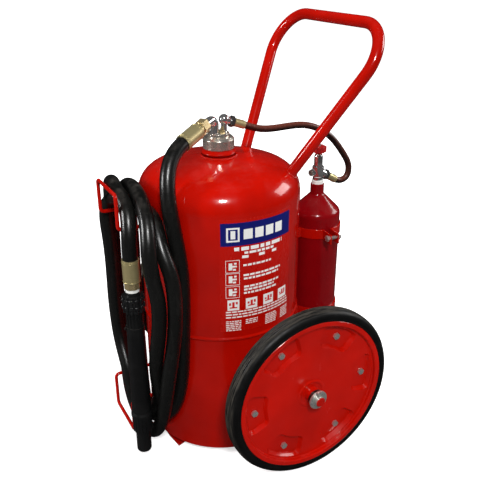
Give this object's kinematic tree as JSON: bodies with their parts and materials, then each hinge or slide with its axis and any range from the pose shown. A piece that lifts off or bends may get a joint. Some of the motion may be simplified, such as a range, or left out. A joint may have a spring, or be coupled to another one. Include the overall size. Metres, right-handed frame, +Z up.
{
  "type": "wheeled fire extinguisher",
  "caption": "Wheeled cartridge-operated powder fire extinguisher: pressure tank, external gas bottle with valve, coiled hose with twist nozzle, push handle, spoked wheels and front foot.",
  "frame": {"origin": "on the floor directly under the pressure tank axis, on the underside of the foot plate", "axes": "+X along the wheel axle towards the wheel on the instruction label side, -Y towards the hose and nozzle (front, resting foot), +Y towards the push handle and gas bottle, +Z up along the tank axis"},
  "size_m": [0.65, 0.633, 0.9535],
  "materials": {
    "red_paint": "gloss",
    "wheel_paint": "gloss",
    "bottle_paint": "satin",
    "black_rubber": "matte",
    "hose_rubber": "satin",
    "gas_hose_rubber": "satin",
    "tyre_rubber": "matte",
    "black_plastic": "satin",
    "red_plastic": "satin",
    "white_plastic": "satin",
    "nickel": "satin",
    "bare_steel": "satin",
    "dark_steel": "satin",
    "chrome": "polished",
    "brass": "satin",
    "yellow_zinc": "satin",
    "label_film": "satin"
  },
  "bodies": {
    "trolley": {"tank_upper_shell": "red_paint", "tank_lower_shell": "red_paint", "tank_bottom_head": "red_paint", "neck_ring": "red_paint", "cap_gasket": "black_rubber", "cap_plug": "nickel", "cap_nut": "nickel", "siphon_tube": "bare_steel", "gas_inlet_tube": "bare_steel", "relief_valve": "brass", "discharge_elbow": "chrome", "discharge_nut": "brass", "discharge_ferrule": "yellow_zinc", "discharge_hose": "hose_rubber", "hose_end_ferrule": "yellow_zinc", "hose_swivel_nut": "brass", "nozzle_seal": "white_plastic", "nozzle_knob": "black_plastic", "inlet_elbow": "chrome", "gas_hose_nuts": "dark_steel", "gas_hose_ferrules": "yellow_zinc", "gas_hose": "gas_hose_rubber", "co2_bottle": "bottle_paint", "bottle_seal_ring": "white_plastic", "co2_valve_body": "chrome", "burst_disc_plug": "nickel", "bottle_saddles": "red_paint", "bottle_clamps": "red_paint", "clamp_bolts": "bare_steel", "clamp_nuts": "bare_steel", "handle": "red_paint", "stub_axles": "bare_steel", "axle_brackets": "red_paint", "axle_washers": "bare_steel", "cotter_pins": "bare_steel", "upper_hose_hook": "red_paint", "lower_hose_hook": "red_paint", "front_foot": "red_paint", "instruction_label": "label_film"},
    "wheel_right": {"tyre_right": "tyre_rubber", "wheel_outer_disc_right": "wheel_paint", "wheel_inner_disc_right": "wheel_paint", "hub_tube_right": "wheel_paint", "hub_bush_right": "black_plastic", "wheel_bolts_right": "bare_steel", "wheel_nuts_right": "bare_steel"},
    "wheel_left": {"tyre_left": "tyre_rubber", "wheel_outer_disc_left": "wheel_paint", "wheel_inner_disc_left": "wheel_paint", "hub_tube_left": "wheel_paint", "hub_bush_left": "black_plastic", "wheel_bolts_left": "bare_steel", "wheel_nuts_left": "bare_steel"},
    "valve_wheel": {"valve_handwheel": "red_plastic", "valve_spindle": "bare_steel"},
    "nozzle_barrel": {"nozzle_sleeve": "black_plastic", "nozzle_grip": "black_plastic", "nozzle_ribbed_ring": "black_plastic", "nozzle_tip": "black_plastic"}
  },
  "joints": [
    {"name": "wheel_right_spin", "type": "hinge", "parent": "trolley", "child": "wheel_right", "pos_m": [0.277, 0.0726, 0.2], "axis": [1, 0, 0], "continuous": true},
    {"name": "wheel_left_spin", "type": "hinge", "parent": "trolley", "child": "wheel_left", "pos_m": [-0.277, 0.0726, 0.2], "axis": [1, 0, 0], "continuous": true},
    {"name": "gas_valve_turn", "type": "hinge", "parent": "trolley", "child": "valve_wheel", "pos_m": [0, 0.265, 0.64], "axis": [0, 0, 1], "range_deg": [0, 720]},
    {"name": "nozzle_twist", "type": "hinge", "parent": "trolley", "child": "nozzle_barrel", "pos_m": [0.0852, -0.2449, 0.3], "axis": [0, 0, 1], "range_deg": [0, 90]}
  ]
}
